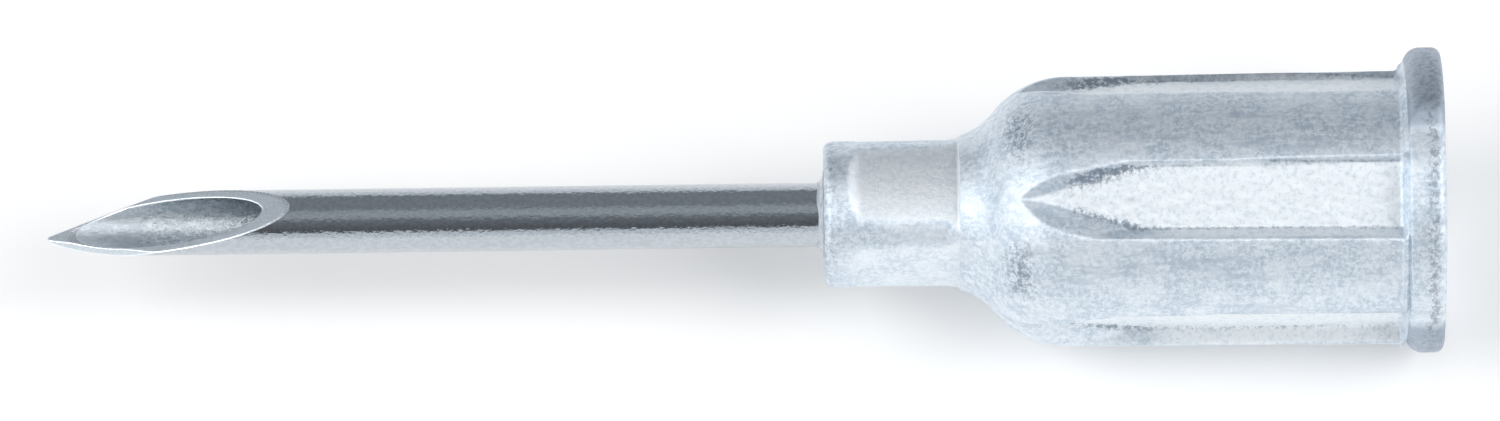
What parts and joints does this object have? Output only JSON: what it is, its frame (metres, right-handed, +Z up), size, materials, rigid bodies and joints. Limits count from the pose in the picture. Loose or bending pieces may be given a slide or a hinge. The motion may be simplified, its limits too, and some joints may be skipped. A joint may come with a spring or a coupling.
{
  "type": "dispensing needle",
  "caption": "Bevelled steel dispensing needle staked into a fluted aluminium hub with a female Luer lock fitting, lying bevel up.",
  "frame": {"origin": "middle of the bounding box's bottom face, on the surface that the hub's flange rests on", "axes": "+X along the needle's axis, from the point to the hub's open rear face; +Z up, the way the bevel faces; +Y across"},
  "size_m": [0.0358, 0.0078, 0.0076],
  "materials": {
    "forged_aluminium": "cold-headed and tumbled, fine matte grain",
    "drawn_steel": "drawn bright, with a ground bevel",
    "sealant": "clear grey cured adhesive, glossy"
  },
  "bodies": {
    "root": {"hub": "forged_aluminium", "cannula": "drawn_steel", "seal_bead": "sealant"}
  },
  "joints": []
}
